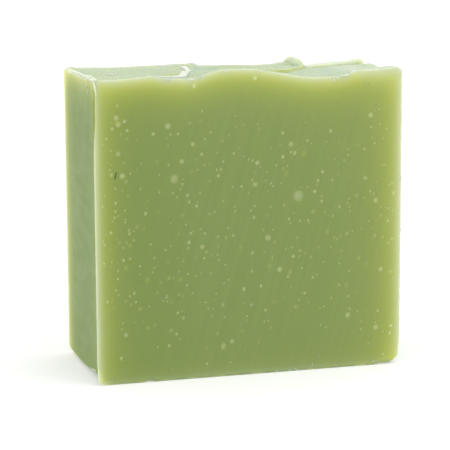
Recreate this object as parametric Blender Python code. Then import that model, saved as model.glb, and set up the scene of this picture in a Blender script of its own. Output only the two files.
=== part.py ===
"""A hand-cut bar of cold-process shaving soap, standing on its mould floor.

The bar is one slice across a poured loaf, so it is one solid. Left and right are the mould's walls,
the bottom is the mould's floor, front and back are the cutter's two planes, and the top is the open
face of the loaf, where the thick batter set in soft folds. Units are metres, +Z is up, and the origin
is at the middle of the bottom. Sizes below are in millimetres until MM scales them.
"""

import math

import bmesh
import bpy
import numpy as np

MM = 0.001

WIDTH = 70.0  # between the mould's walls, along X
THICKNESS = 31.8  # between the two cuts, along Y
FLOOR_RADIUS = 2.5  # the mould's rounded corner, where its walls meet its floor
CUT_EDGE = 0.25  # the small break along the edges that the cutter left
RIM_RADIUS = 1.2  # the soft corner where the top meets a mould wall
STOCK_HEIGHT = 72.0  # the slice before its top is shaped

# The top's height above the floor, as (x, z) points along three lines across the bar.
FRONT_LINE = (
    (-35.0, 67.1), (-31.0, 66.95), (-28.5, 67.1), (-25.8, 67.25), (-22.4, 67.4), (-20.6, 66.95),
    (-19.0, 66.75), (-16.6, 66.65), (-14.0, 66.42), (-12.0, 66.72), (-9.8, 67.5), (-7.1, 68.1),
    (-3.4, 68.3), (1.6, 68.0), (7.4, 66.85), (12.0, 66.0), (16.2, 65.7), (21.0, 65.9),
    (24.5, 66.5), (28.0, 66.75), (31.0, 67.0), (33.2, 67.4), (35.0, 67.3),
)
MIDDLE_LINE = (
    (-35.0, 66.75), (-30.0, 66.5), (-20.0, 66.5), (-12.0, 66.45), (-8.0, 66.1), (-2.0, 67.0),
    (6.0, 66.7), (12.0, 66.1), (16.0, 65.6), (20.0, 65.4), (25.0, 65.4), (30.0, 65.75), (35.0, 66.05),
)
BACK_LINE = (
    (-35.0, 66.5), (-33.0, 66.4), (-30.0, 66.35), (-24.0, 66.15), (-17.0, 66.2), (-12.0, 66.2),
    (-5.5, 66.0), (-3.8, 65.5), (-1.0, 65.5), (4.0, 65.35), (8.0, 65.25), (14.0, 65.3), (22.0, 64.75),
    (27.0, 64.9), (31.0, 65.1), (33.0, 64.95), (35.0, 65.6),
)

# Layers of batter folded over the ones below. Each has the path of its edge, with the layer on the
# path's left, its thickness along that path, how far it runs on before it thins out, the width of its
# riser and the height of the rolled lip along the edge.
LAYERS = (
    {   # the long fold that ends in the curl, left of the middle
        "path": ((-4.0, 18.0), (-5.0, 15.0), (-7.6, 11.3), (-8.2, 6.6), (-9.6, 0.0), (-11.4, -5.5),
                 (-14.0, -9.6), (-17.5, -13.2), (-22.5, -15.7), (-26.0, -17.5)),
        "thickness": ((0.0, 0.5), (0.3, 0.35), (0.6, 0.35), (0.8, 0.2), (1.0, 0.0)),
        "reach": 9.0, "riser": 0.55, "lip": 0.22,
    },
    {   # the middle fold, which laps over the basin and ends in the knob at the back
        "path": ((-1.0, -18.0), (2.5, -15.6), (5.2, -14.6), (7.8, -13.2), (10.0, -10.0), (12.0, -5.6),
                 (14.5, -0.8), (17.4, 3.4), (20.0, 7.6), (21.3, 12.0), (21.6, 18.0)),
        "thickness": ((0.0, 0.0), (0.12, 0.1), (0.24, 0.6), (0.45, 0.45), (0.7, 0.42), (1.0, 0.55)),
        "reach": 12.0, "riser": 0.5, "lip": 0.08,
    },
    {   # the fold along the back edge, right of the knob
        "path": ((19.0, 12.4), (21.5, 11.6), (25.0, 11.2), (29.0, 11.0), (33.0, 10.2), (38.0, 8.4)),
        "thickness": ((0.0, 0.0), (0.2, 0.45), (0.6, 0.7), (0.85, 1.1), (1.0, 1.15)),
        "reach": 60.0, "riser": 0.9, "lip": 0.05,
    },
    {   # the low step up to the right front corner
        "path": ((31.5, 6.0), (29.5, 2.0), (27.6, -3.0), (25.8, -8.5), (24.2, -12.5), (22.9, -16.0),
                 (22.4, -18.5)),
        "thickness": ((0.0, 0.0), (0.3, 0.1), (0.7, 0.4), (0.9, 0.55), (1.0, 0.55)),
        "reach": 5.0, "riser": 1.0, "lip": 0.08,
    },
)

# Soft mounds on the top: centre x, y, half sizes along and across, height, turn in degrees, and how
# gently the sides run out.
MOUNDS = (
    (19.8, 16.0, 2.5, 7.0, 1.6, 0.0, 0.95),  # the knob that breaks the back edge
    (17.2, 15.2, 2.9, 5.0, 0.5, 0.0, 1.2),  # its long left shoulder
    (33.6, 12.2, 4.0, 2.6, 0.22, 90.0, 0.9),  # the end of the back fold, at the right wall
    (34.0, 2.2, 5.0, 3.2, 0.5, 90.0, 1.2),  # a low swell on the right wall
    (-33.9, 14.2, 1.8, 2.0, 0.35, 0.0, 1.5),  # the raised back left corner
    (-34.4, -10.4, 3.4, 0.9, 0.45, 90.0, 1.5),  # a flake pressed up on the left rim
    (-16.1, -6.8, 4.6, 1.5, -0.45, 33.0, 1.5),  # the groove behind the curl
    (-8.0, -7.0, 2.6, 1.5, -0.25, 60.0, 1.5),  # the hollow right of the curl
    (-13.2, -9.0, 6.5, 1.2, 0.4, 56.0, 1.0),  # the thin curl near the front cut
)

COLUMNS = 116
ROWS = 44
GRID_MARGIN = 1.5  # how far the top's cutter reaches past the slice
LIP_WIDTH = 0.45  # of the rolled lip along a fold's edge
FULL_LIP = 0.2  # the fold thickness at which its lip is whole
PATH_STEPS = 12  # points between two neighbours of a fold's path
COLUMN_CROWDING = 0.45  # 0 spaces the columns evenly, 1 crowds them towards the mould walls


def smooth(t):
    """0 to 1 with level ends."""
    t = np.clip(t, 0.0, 1.0)
    return t * t * (3.0 - 2.0 * t)


def smooth_line(points, x):
    """A curve through (x, z) points, with the slope at each taken from its neighbours."""
    xs, zs = np.array(points).T
    slopes = np.gradient(zs, xs)
    i = np.clip(np.searchsorted(xs, x, side="right") - 1, 0, len(xs) - 2)
    span = xs[i + 1] - xs[i]
    t = np.clip((x - xs[i]) / span, 0.0, 1.0)
    start = zs[i] * (1.0 + 2.0 * t) + slopes[i] * span * t
    end = zs[i + 1] * (3.0 - 2.0 * t) - slopes[i + 1] * span * (1.0 - t)
    return start * (1.0 - t) ** 2 + end * t**2


def smooth_path(points):
    """Many points along a Catmull-Rom curve through a few."""
    points = np.array(points)
    before = 2.0 * points[0] - points[1]
    after = 2.0 * points[-1] - points[-2]
    padded = np.vstack([before, points, after])
    t = np.linspace(0.0, 1.0, PATH_STEPS, endpoint=False)[:, None]
    pieces = []
    for a, b, c, d in zip(padded, padded[1:], padded[2:], padded[3:]):
        bend = 2.0 * a - 5.0 * b + 4.0 * c - d
        twist = 3.0 * b - a - 3.0 * c + d
        pieces.append(b + 0.5 * ((c - a) * t + bend * t**2 + twist * t**3))
    return np.vstack([*pieces, points[-1:]])


def beside_path(path, x, y):
    """How far each (x, y) lies to the left of the path, and how far along it, from 0 to 1."""
    starts = path[:-1]
    along = path[1:] - starts
    lengths = np.hypot(along[:, 0], along[:, 1])
    before = np.concatenate([[0.0], np.cumsum(lengths)])
    best = np.full(x.shape, np.inf)
    side = np.zeros(x.shape)
    share = np.zeros(x.shape)
    for (x0, y0), (ax, ay), length, done in zip(starts, along, lengths, before):
        t = np.clip(((x - x0) * ax + (y - y0) * ay) / length**2, 0.0, 1.0)
        gap = np.hypot(x - x0 - t * ax, y - y0 - t * ay)
        nearer = gap < best
        left = np.sign(ax * (y - y0) - ay * (x - x0))
        best = np.where(nearer, gap, best)
        side = np.where(nearer, left * gap, side)
        share = np.where(nearer, (done + t * length) / before[-1], share)
    return side, share


def layer_height(layer, x, y):
    """A fold of batter: a step up at its edge, a rolled lip along it, and a slow run-out behind."""
    side, share = beside_path(smooth_path(layer["path"]), x, y)
    thickness = smooth_line(layer["thickness"], share)
    step = smooth(side / layer["riser"] + 0.5)
    fade = np.exp(-np.clip(side, 0.0, None) / layer["reach"])
    lip = layer["lip"] * np.exp(-(((side - layer["riser"]) / LIP_WIDTH) ** 2))
    present = np.clip(thickness / FULL_LIP, 0.0, 1.0)
    return thickness * step * fade + lip * present


def mound_height(mound, x, y):
    """A soft mound, longer along its own axis."""
    centre_x, centre_y, half_length, half_width, height, turn, power = mound
    angle = math.radians(turn)
    along = (x - centre_x) * math.cos(angle) + (y - centre_y) * math.sin(angle)
    across = (y - centre_y) * math.cos(angle) - (x - centre_x) * math.sin(angle)
    reach = (along / half_length) ** 2 + (across / half_width) ** 2
    return height * np.clip(1.0 - reach, 0.0, None) ** power


def rim_drop(x):
    """How far the rounded corner beside a mould wall falls below the top."""
    into_corner = np.clip(np.abs(x) - (WIDTH / 2 - RIM_RADIUS), 0.0, RIM_RADIUS)
    return RIM_RADIUS - np.sqrt(RIM_RADIUS**2 - into_corner**2)


def top_height(x, y):
    """The height of the poured top at each (x, y), in millimetres."""
    share = np.clip(y / THICKNESS + 0.5, 0.0, 1.0)
    front = smooth_line(FRONT_LINE, x)
    middle = smooth_line(MIDDLE_LINE, x)
    back = smooth_line(BACK_LINE, x)
    height = front + (middle - front) * smooth(share * 2.0)
    height = height + (back - middle) * smooth(share * 2.0 - 1.0)
    for layer in LAYERS:
        height = height + layer_height(layer, x, y)
    for mound in MOUNDS:
        height = height + mound_height(mound, x, y)
    return height - rim_drop(x)


def new_object(name, mesh_builder, collection):
    """An object whose mesh is made by mesh_builder(bm), linked to collection."""
    mesh = bpy.data.meshes.new(name)
    bm = bmesh.new()
    mesh_builder(bm)
    bmesh.ops.recalc_face_normals(bm, faces=bm.faces)
    bm.to_mesh(mesh)
    bm.free()
    made = bpy.data.objects.new(name, mesh)
    collection.objects.link(made)
    return made


def build_slice(bm):
    """The slice as cut: a block with the mould's round floor corners and crisp cut edges."""
    bmesh.ops.create_cube(bm, size=1.0)
    bmesh.ops.scale(bm, vec=(WIDTH * MM, THICKNESS * MM, STOCK_HEIGHT * MM), verts=bm.verts)
    bmesh.ops.translate(bm, vec=(0.0, 0.0, STOCK_HEIGHT * MM / 2), verts=bm.verts)

    floor_corners = [
        edge for edge in bm.edges
        if all(vert.co.z < 0.5 * MM for vert in edge.verts)
        and abs(edge.verts[0].co.x - edge.verts[1].co.x) < 0.5 * MM
    ]
    bmesh.ops.bevel(
        bm, geom=floor_corners, offset=FLOOR_RADIUS * MM, segments=6, profile=0.5, affect="EDGES"
    )

    cut_edges = [
        edge for edge in bm.edges
        if abs(edge.verts[0].co.y - edge.verts[1].co.y) < 0.5 * MM
        and all(vert.co.z < (STOCK_HEIGHT - 0.5) * MM for vert in edge.verts)
        or abs(edge.verts[0].co.z - edge.verts[1].co.z) > 10.0 * MM
    ]
    bmesh.ops.bevel(
        bm, geom=cut_edges, offset=CUT_EDGE * MM, segments=1, profile=0.5, affect="EDGES"
    )


def crowded(share):
    """Moves positions from -1 to 1 towards the nearer end."""
    return (1.0 - COLUMN_CROWDING) * share + COLUMN_CROWDING * np.sin(share * math.pi / 2)


def build_top_cutter(bm):
    """Everything above the poured top: a grid at the top's height, drawn up past the slice."""
    bmesh.ops.create_grid(bm, x_segments=COLUMNS, y_segments=ROWS, size=1.0)
    places = np.array([vert.co[:2] for vert in bm.verts])
    x = crowded(places[:, 0]) * (WIDTH / 2 + GRID_MARGIN)
    y = places[:, 1] * (THICKNESS / 2 + GRID_MARGIN)
    for vert, place in zip(bm.verts, np.stack([x, y, top_height(x, y)], -1) * MM):
        vert.co = place
    drawn = bmesh.ops.extrude_face_region(bm, geom=bm.faces[:])
    lid = [item for item in drawn["geom"] if isinstance(item, bmesh.types.BMVert)]
    for vert in lid:
        vert.co.z = (STOCK_HEIGHT + GRID_MARGIN) * MM


def soap_material():
    """Pale olive-green soap with a satin surface that lets a little light in."""
    material = bpy.data.materials.new("soap")
    material.use_nodes = True
    shader = material.node_tree.nodes["Principled BSDF"]
    shader.inputs["Base Color"].default_value = (0.25, 0.34, 0.12, 1.0)
    shader.inputs["Roughness"].default_value = 0.48
    shader.inputs["Metallic"].default_value = 0.0
    shader.inputs["Subsurface Weight"].default_value = 0.4
    shader.inputs["Subsurface Radius"].default_value = (0.005, 0.004, 0.0015)
    shader.inputs["Subsurface Scale"].default_value = 1.0
    material.diffuse_color = (0.25, 0.34, 0.12, 1.0)
    return material


def clear_scene():
    for old in list(bpy.data.objects):
        bpy.data.objects.remove(old, do_unlink=True)


def build_soap_bar():
    scene_collection = bpy.context.scene.collection
    parts = bpy.data.collections.new("shaving_soap_bar")
    cutters = bpy.data.collections.new("cutters")
    scene_collection.children.link(parts)
    scene_collection.children.link(cutters)

    cutter = new_object("top_cutter", build_top_cutter, cutters)
    cutter.hide_render = True
    cutter.display_type = "WIRE"

    soap_bar = new_object("soap_bar", build_slice, parts)
    soap_bar.data.materials.append(soap_material())
    shape_top = soap_bar.modifiers.new("shape_top", "BOOLEAN")
    shape_top.operation = "DIFFERENCE"
    shape_top.solver = "EXACT"
    shape_top.object = cutter
    soap_bar.data.shade_smooth()
    soap_bar.data.set_sharp_from_angle(angle=math.radians(30.0))
    return soap_bar


clear_scene()
build_soap_bar()
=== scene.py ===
"""Looks of a hand-cut bar of shaving soap: its fine surface, its translucent material and a soft studio.

The bar is one slice of a poured loaf. Its visible mesh is made in three parts that share their border
points: a belt swept along Y (mould floor, walls and poured top) and the two cut faces that close it.
Shapes are worked out in millimetres in the CAD frame and turned into metres when a mesh is made.
"""

import math
import random
from collections import namedtuple

import bmesh
import bpy
import numpy as np
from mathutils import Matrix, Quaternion, Vector, noise
from mathutils.geometry import delaunay_2d_cdt


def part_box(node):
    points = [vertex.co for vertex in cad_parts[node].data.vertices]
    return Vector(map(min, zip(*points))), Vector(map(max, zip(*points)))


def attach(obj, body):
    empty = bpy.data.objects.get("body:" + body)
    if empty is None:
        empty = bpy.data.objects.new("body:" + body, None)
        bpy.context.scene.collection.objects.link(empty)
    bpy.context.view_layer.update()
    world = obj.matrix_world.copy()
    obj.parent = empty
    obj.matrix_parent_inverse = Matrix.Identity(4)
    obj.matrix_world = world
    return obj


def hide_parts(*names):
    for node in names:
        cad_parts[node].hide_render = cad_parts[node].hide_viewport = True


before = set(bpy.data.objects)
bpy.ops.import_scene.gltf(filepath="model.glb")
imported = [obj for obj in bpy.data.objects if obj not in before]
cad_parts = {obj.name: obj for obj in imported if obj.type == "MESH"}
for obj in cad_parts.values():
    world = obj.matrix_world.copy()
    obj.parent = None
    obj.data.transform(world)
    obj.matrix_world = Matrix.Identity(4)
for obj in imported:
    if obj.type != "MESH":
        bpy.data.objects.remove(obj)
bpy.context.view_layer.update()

MM = 0.001
low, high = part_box("soap_bar")
WIDTH = (high.x - low.x) / MM
THICKNESS = (high.y - low.y) / MM
HALF_W = WIDTH / 2
HALF_T = THICKNESS / 2

FLOOR_RADIUS = 2.2  # the mould's round corner between its right wall and its floor
LEFT_RADIUS = 2.1  # the same corner on the left, at the back
LEFT_RADIUS_MORE = 2.9  # how much that corner has grown by the front cut
RIM_RADIUS = 1.2  # the soft corner where the top meets a mould wall
CUT_RADIUS = 0.22  # the small break along the cutter's edges
LIP_HEIGHT = 0.11  # how far the cutter's burr stands out of the left wall
LIP_DEPTH = 0.7  # how far that burr reaches back from the front cut
LIP_WORN = 0.4  # how much is worn off that edge near the top
LIP_WORN_FROM = 51.0  # the height at which that wear starts
NICK_X = -23.5  # the highest place of the nick in the front cut's lower edge
NICK_HEIGHT = 0.49
# The worn right end of that edge: where each step up starts, its length and its rise.
WORN_STEPS = ((29.0, 0.4, 0.12), (29.6, 0.7, 0.3), (30.5, 3.0, 0.15))
FOOT_LEAN = 0.35  # how far the right wall draws in at its foot
FOOT_LEAN_HEIGHT = 8.0  # the height at which that starts

rng = random.Random(7)


# ---------------------------------------------------------------- curves and smooth steps

def smooth(t):
    """0 to 1 with level ends, for numbers or arrays."""
    t = np.clip(t, 0.0, 1.0)
    return t * t * (3.0 - 2.0 * t)


def smooth_line(points, x):
    """A curve through points of a place and a value, with each slope taken from the points beside it."""
    xs, zs = np.array(points, float).T
    slopes = np.gradient(zs, xs)
    i = np.clip(np.searchsorted(xs, x, side="right") - 1, 0, len(xs) - 2)
    span = xs[i + 1] - xs[i]
    t = np.clip((x - xs[i]) / span, 0.0, 1.0)
    start = zs[i] * (1 + 2 * t) + slopes[i] * span * t
    end = zs[i + 1] * (3 - 2 * t) - slopes[i + 1] * span * (1 - t)
    return start * (1 - t) ** 2 + end * t**2


def smooth_path(points, steps=12):
    """Many points along a Catmull-Rom curve through a few."""
    points = np.array(points, float)
    padded = np.vstack([2 * points[0] - points[1], points, 2 * points[-1] - points[-2]])
    t = np.linspace(0.0, 1.0, steps, endpoint=False)[:, None]
    pieces = []
    for a, b, c, d in zip(padded, padded[1:], padded[2:], padded[3:]):
        pieces.append(
            0.5 * (2 * b + (c - a) * t + (2 * a - 5 * b + 4 * c - d) * t**2
                   + (3 * b - a - 3 * c + d) * t**3)
        )
    return np.vstack([*pieces, points[-1:]])


def beside_path(path, x, y):
    """How far each (x, y) lies to the left of the path, and how far along it, from 0 to 1."""
    starts, ends = path[:-1], path[1:]
    along = ends - starts
    lengths = np.hypot(*along.T)
    before = np.concatenate([[0.0], np.cumsum(lengths)])
    best = np.full(x.shape, np.inf)
    side = np.zeros(x.shape)
    share = np.zeros(x.shape)
    for (x0, y0), (ax, ay), length, done in zip(starts, along, lengths, before):
        t = np.clip(((x - x0) * ax + (y - y0) * ay) / length**2, 0.0, 1.0)
        gap = np.hypot(x - x0 - t * ax, y - y0 - t * ay)
        nearer = gap < best
        left = np.sign(ax * (y - y0) - ay * (x - x0))
        best = np.where(nearer, gap, best)
        side = np.where(nearer, left * gap, side)
        share = np.where(nearer, (done + t * length) / before[-1], share)
    return side, share


def rough(x, y, z, size, seed=0.0):
    """Soft noise from -1 to 1 at each point, with features of about the given size."""
    points = np.stack(np.broadcast_arrays(x, y, z), -1).reshape(-1, 3) / size + seed
    values = [noise.noise(Vector(p)) for p in points.tolist()]
    return np.array(values).reshape(np.broadcast(x, y, z).shape)


# ---------------------------------------------------------------- the poured top

# The top's height along X, at the front cut, halfway back and at the back cut.
FRONT_LINE = (
    (-35.0, 67.1), (-31.0, 66.95), (-28.5, 67.1), (-25.8, 67.25), (-22.4, 67.4), (-20.6, 66.95),
    (-19.0, 66.75), (-16.6, 66.65), (-14.0, 66.42), (-12.0, 66.72), (-9.8, 67.5), (-7.1, 68.1),
    (-3.4, 68.3), (1.6, 68.0), (7.4, 66.95), (12.0, 66.15), (16.2, 65.9), (21.0, 66.1),
    (24.5, 66.65), (28.0, 66.98), (31.0, 67.2), (33.2, 67.5), (35.0, 67.35),
)
MIDDLE_LINE = (
    (-35.0, 66.75), (-30.0, 66.5), (-20.0, 66.5), (-12.0, 66.45), (-8.0, 66.1), (-2.0, 67.0),
    (6.0, 66.7), (12.0, 66.1), (16.0, 65.6), (20.0, 65.4), (25.0, 65.4), (30.0, 65.75), (35.0, 66.05),
)
BACK_LINE = (
    (-35.0, 66.5), (-33.0, 66.4), (-30.0, 66.35), (-24.0, 66.15), (-17.0, 66.2), (-12.0, 66.28),
    (-5.5, 66.12), (-3.8, 65.62), (-1.0, 65.55), (4.0, 65.35), (8.0, 65.25), (14.0, 65.3), (22.0, 64.75),
    (27.0, 64.9), (31.0, 65.1), (33.0, 64.95), (35.0, 65.6),
)

# Folds of batter laid over what was poured before. Each has the path of its edge, with the fold on the path's
# left, its thickness along that path, how far it runs on before it thins out, the width of its riser, the
# height of the rolled lip along its edge, and how strongly painted shade and glow show at the riser.
CURL_FOLD = {  # the long fold that ends in the curl, left of the middle
    "path": ((-4.0, 18.0), (-5.0, 15.0), (-7.6, 11.3), (-8.2, 6.6), (-9.6, 0.0), (-11.4, -5.5),
             (-14.0, -9.6), (-17.5, -13.2), (-22.5, -15.7), (-26.0, -17.5)),
    "thickness": ((0.0, 0.38), (0.3, 0.35), (0.6, 0.35), (0.8, 0.2), (1.0, 0.0)),
    "reach": 9.0, "riser": 0.55, "lip": 0.22, "riser_shading": 0.4,
}
MIDDLE_FOLD = {  # laps over the basin and ends in the knob at the back
    "path": ((-1.0, -18.0), (2.5, -15.6), (5.2, -14.6), (7.8, -13.2), (10.0, -10.0), (12.0, -5.6),
             (14.5, -0.8), (17.3, 3.4), (19.7, 7.6), (20.8, 12.0), (21.1, 18.0)),
    "thickness": ((0.0, 0.0), (0.12, 0.1), (0.24, 0.6), (0.45, 0.45), (0.7, 0.42), (1.0, 0.55)),
    "reach": 12.0, "riser": 0.5, "lip": 0.08, "riser_shading": 1.0,
}
BACK_FOLD = {  # along the back edge, right of the knob
    "path": ((19.0, 12.4), (21.5, 11.6), (25.0, 11.2), (29.0, 11.0), (33.0, 10.2), (38.0, 8.4)),
    "thickness": ((0.0, 0.0), (0.2, 0.45), (0.6, 0.7), (0.85, 1.1), (1.0, 1.15)),
    "reach": 60.0, "riser": 0.9, "lip": 0.05, "riser_shading": 0.35,
}
FRONT_STEP = {  # the low step up to the right front corner
    "path": ((31.5, 6.0), (29.5, 2.0), (27.6, -3.0), (25.8, -8.5), (24.2, -12.5), (22.9, -16.0),
             (22.4, -18.5)),
    "thickness": ((0.0, 0.0), (0.3, 0.1), (0.7, 0.4), (0.9, 0.55), (1.0, 0.55)),
    "reach": 5.0, "riser": 1.0, "lip": 0.08, "riser_shading": 0.2,
}
LAYERS = (CURL_FOLD, MIDDLE_FOLD, BACK_FOLD, FRONT_STEP)

# Soft mounds on the top, or hollows where the height is below zero. The turn is in degrees, and the power
# says how gently the sides run out.
Mound = namedtuple("Mound", "x y half_length half_width height turn power")
KNOB = Mound(19.45, 16.0, 2.45, 7.0, 1.6, 0.0, 0.95)  # breaks the back edge
GROOVE = Mound(-16.1, -6.4, 5.1, 1.4, -0.45, 39.0, 1.5)  # behind the curl
MOUNDS = (
    KNOB,
    Mound(17.2, 15.2, 2.9, 5.0, 0.5, 0.0, 1.2),  # the knob's long left shoulder
    Mound(33.6, 12.2, 4.0, 2.6, 0.22, 90.0, 0.9),  # the end of the back fold, at the right wall
    Mound(34.0, 2.2, 5.0, 3.2, 0.5, 90.0, 1.2),  # a low swell on the right wall
    Mound(-33.9, 14.2, 1.8, 2.0, 0.35, 0.0, 1.5),  # the raised back left corner
    Mound(-34.4, -10.4, 3.4, 0.9, 0.45, 90.0, 1.5),  # a flake pressed up on the left rim
    GROOVE,
    Mound(-8.0, -7.0, 2.6, 1.5, -0.25, 60.0, 1.5),  # the hollow right of the curl
)


def layer_height(layer, x, y):
    """How much a fold adds to the top's height."""
    side, share = beside_path(smooth_path(layer["path"]), x, y)
    thickness = smooth_line(layer["thickness"], share)
    step = smooth(side / layer["riser"] + 0.5)
    fade = np.exp(-np.clip(side, 0.0, None) / layer["reach"])
    lip = layer["lip"] * np.exp(-(((side - layer["riser"]) / 0.45) ** 2))
    present = np.clip(thickness / 0.2, 0.0, 1.0)
    return thickness * step * fade + lip * present


def mound_height(mound, x, y):
    """How much a mound adds to the top's height."""
    c, s = math.cos(math.radians(mound.turn)), math.sin(math.radians(mound.turn))
    along = (x - mound.x) * c + (y - mound.y) * s
    across = (y - mound.y) * c - (x - mound.x) * s
    reach = (along / mound.half_length) ** 2 + (across / mound.half_width) ** 2
    return mound.height * np.clip(1.0 - reach, 0.0, None) ** mound.power


def rim_drop(x):
    """How far the round corner beside a mould wall falls below the top."""
    into = np.clip(np.abs(x) - (HALF_W - RIM_RADIUS), 0.0, RIM_RADIUS)
    return RIM_RADIUS - np.sqrt(RIM_RADIUS**2 - into**2)


def top_height(x, y):
    """Height of the poured top above the floor."""
    x, y = np.broadcast_arrays(np.asarray(x, float), np.asarray(y, float))
    share = np.clip(y / THICKNESS + 0.5, 0.0, 1.0)
    front = smooth_line(FRONT_LINE, x)
    middle = smooth_line(MIDDLE_LINE, x)
    back = smooth_line(BACK_LINE, x)
    to_middle = smooth(share * 2.0)
    to_back = smooth(share * 2.0 - 1.0)
    height = front + (middle - front) * to_middle + (back - middle) * to_back
    for layer in LAYERS:
        height = height + layer_height(layer, x, y)
    for mound in MOUNDS:
        height = height + mound_height(mound, x, y)
    return height - rim_drop(x)


# ---------------------------------------------------------------- the belt: floor, walls and top

# About how far apart the belt's points lie along each stretch of a cross-section, and its rows across.
TOP_STEP = 0.26
WALL_STEP = 0.65
FLOOR_STEP = 0.55
ROW_STEP = 0.3
CORNER_STEPS = 10  # round each corner
EDGE_BAND = (1.2, 0.95, 0.75, 0.58, 0.45)  # how deep behind a cut its own rows lie
ROUND_STEPS = 4  # round a cut's broken edge
WALL_TOP = 64.0  # the walls' rough length, for spacing their points
SQUARENESS = 10  # how square the burr makes the left corner at the front cut; 2 would leave it round


def left_radius(y):
    """The left mould corner's radius, which grows towards the front cut."""
    return LEFT_RADIUS + LEFT_RADIUS_MORE * np.clip((4.0 - y) / (4.0 + HALF_T), 0.0, 1.0) ** 1.5


def foot_lift(x):
    """How far the front cut's lower edge stands off the floor: a nick, and the worn right end."""
    past = x - NICK_X
    nick = NICK_HEIGHT * np.where(past < 0.0, smooth((past + 1.2) / 1.2), 1.0 - smooth(past / 1.5))
    return nick + sum(rise * smooth((x - start) / length) for start, length, rise in WORN_STEPS)


def section_stations():
    """The stations round one cross-section, counter-clockwise seen from the front. Each has the name of
    the stretch it lies on and its share of the way along that stretch."""
    corner = np.linspace(0.0, 1.0, CORNER_STEPS + 1)[1:-1]
    floor = np.linspace(0.0, 1.0, int((WIDTH - 2 * FLOOR_RADIUS) / FLOOR_STEP) + 1)
    wall = np.linspace(0.0, 1.0, int(WALL_TOP / WALL_STEP) + 1)
    top = np.linspace(0.0, 1.0, int((WIDTH - 2 * RIM_RADIUS) / TOP_STEP) + 1)
    stretches = (
        ("floor", floor), ("right_corner", corner), ("right_wall", wall), ("right_rim", corner),
        ("top", top), ("left_rim", corner), ("left_wall", wall), ("left_corner", corner),
    )
    names = np.concatenate([[name] * len(shares) for name, shares in stretches])
    return names, np.concatenate([shares for _, shares in stretches])


def section(names, shares, y):
    """x and z of every station (down) at every y (across)."""
    t = shares[:, None] + 0.0 * y[None, :]
    y = y[None, :] + 0.0 * t
    on = {name: (names == name)[:, None] for name in set(names.tolist())}
    c, s = np.cos(t * math.pi / 2), np.sin(t * math.pi / 2)
    rim, foot = HALF_W - RIM_RADIUS, HALF_W - FLOOR_RADIUS
    left = left_radius(y)
    x = np.select(
        [on["floor"], on["right_corner"], on["right_wall"], on["right_rim"],
         on["top"], on["left_rim"], on["left_wall"], on["left_corner"]],
        [left - HALF_W + t * (foot + HALF_W - left), foot + FLOOR_RADIUS * s, HALF_W + 0.0 * t,
         rim + RIM_RADIUS * c, (1 - 2 * t) * rim, -rim - RIM_RADIUS * s, -HALF_W + 0.0 * t,
         left - HALF_W - left * c],
    )
    ends = [top_height(side * HALF_W + 0.0 * y[:1], y[:1]) for side in (1, -1)]
    z = np.select(
        [on["floor"], on["right_corner"], on["right_wall"], on["left_wall"], on["left_corner"]],
        [0.0 * t, FLOOR_RADIUS * (1 - c), FLOOR_RADIUS + (ends[0] - FLOOR_RADIUS) * t,
         ends[1] + (left - ends[1]) * t, left * (1 - s)], top_height(x, y),
    )
    return x, z


def row_places():
    """Each row's place across the bar, and how far round a cut's broken edge it lies."""
    inner = HALF_T - EDGE_BAND[0]
    plain = np.linspace(-inner, inner, int(2 * inner / ROW_STEP) + 1)[1:-1]
    turns = np.linspace(1.0, 0.0, ROUND_STEPS + 1)
    depth = np.concatenate([0.0 * turns, EDGE_BAND[::-1]])
    turn = np.concatenate([turns, np.zeros(len(EDGE_BAND))])
    y = np.concatenate([-HALF_T + depth, plain, (HALF_T - depth)[::-1]])
    turn = np.concatenate([turn, 0.0 * plain, turn[::-1]])
    return y, turn


def outward_in_section(x, z):
    """The direction out of the soap at every belt point, in the plane of its cross-section."""
    along_x, along_z = np.roll(x, -1, 0) - np.roll(x, 1, 0), np.roll(z, -1, 0) - np.roll(z, 1, 0)
    length = np.hypot(along_x, along_z)
    return along_z / length, -along_x / length


def left_lip(names, shares, y, z):
    """How far the cutter's burr stands out of the left wall, and how far it fills the round corner below
    the wall, so that the front cut ends there in a nearly square corner."""
    on_left = np.char.startswith(names, "left")[:, None]
    in_corner = names == "left_corner"
    quarter = shares * math.pi / 2
    square = (np.cos(quarter) ** SQUARENESS + np.sin(quarter) ** SQUARENESS) ** (-1 / SQUARENESS) - 1.0
    fill = np.where(in_corner, square, 0.0)[:, None] * left_radius(y)
    shrink = np.where(in_corner, 1.0 - shares, 1.0)[:, None]
    ragged = 1.0 + 0.25 * rough(0.0, 0.0, z, 3.2, 5.0) + 0.4 * rough(0.0, 0.0, z, 1.3, 9.0)
    worn = LIP_WORN * smooth((z - LIP_WORN_FROM) / 8.0)
    depth = LIP_DEPTH * (1.0 + 0.35 * rough(0.0, 3.0, z, 2.0, 2.0))
    return ((LIP_HEIGHT * ragged * shrink - worn) * on_left + fill) * smooth(1.0 - (y + HALF_T) / depth)


def wall_unevenness(names, x, y, z, inland):
    """How far the walls are from flat, and the right wall's own faint burr at the front cut."""
    on_wall = np.char.endswith(names, "wall")[:, None]
    on_right = (names == "right_wall")[:, None]
    burr = 0.1 * on_right * smooth(1.0 - (y + HALF_T) / LIP_DEPTH) * rough(x, 0.0, z, 1.6, 2.0)
    return burr + 0.035 * on_wall * inland * rough(x, y, z, 5.0, 4.0)


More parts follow.
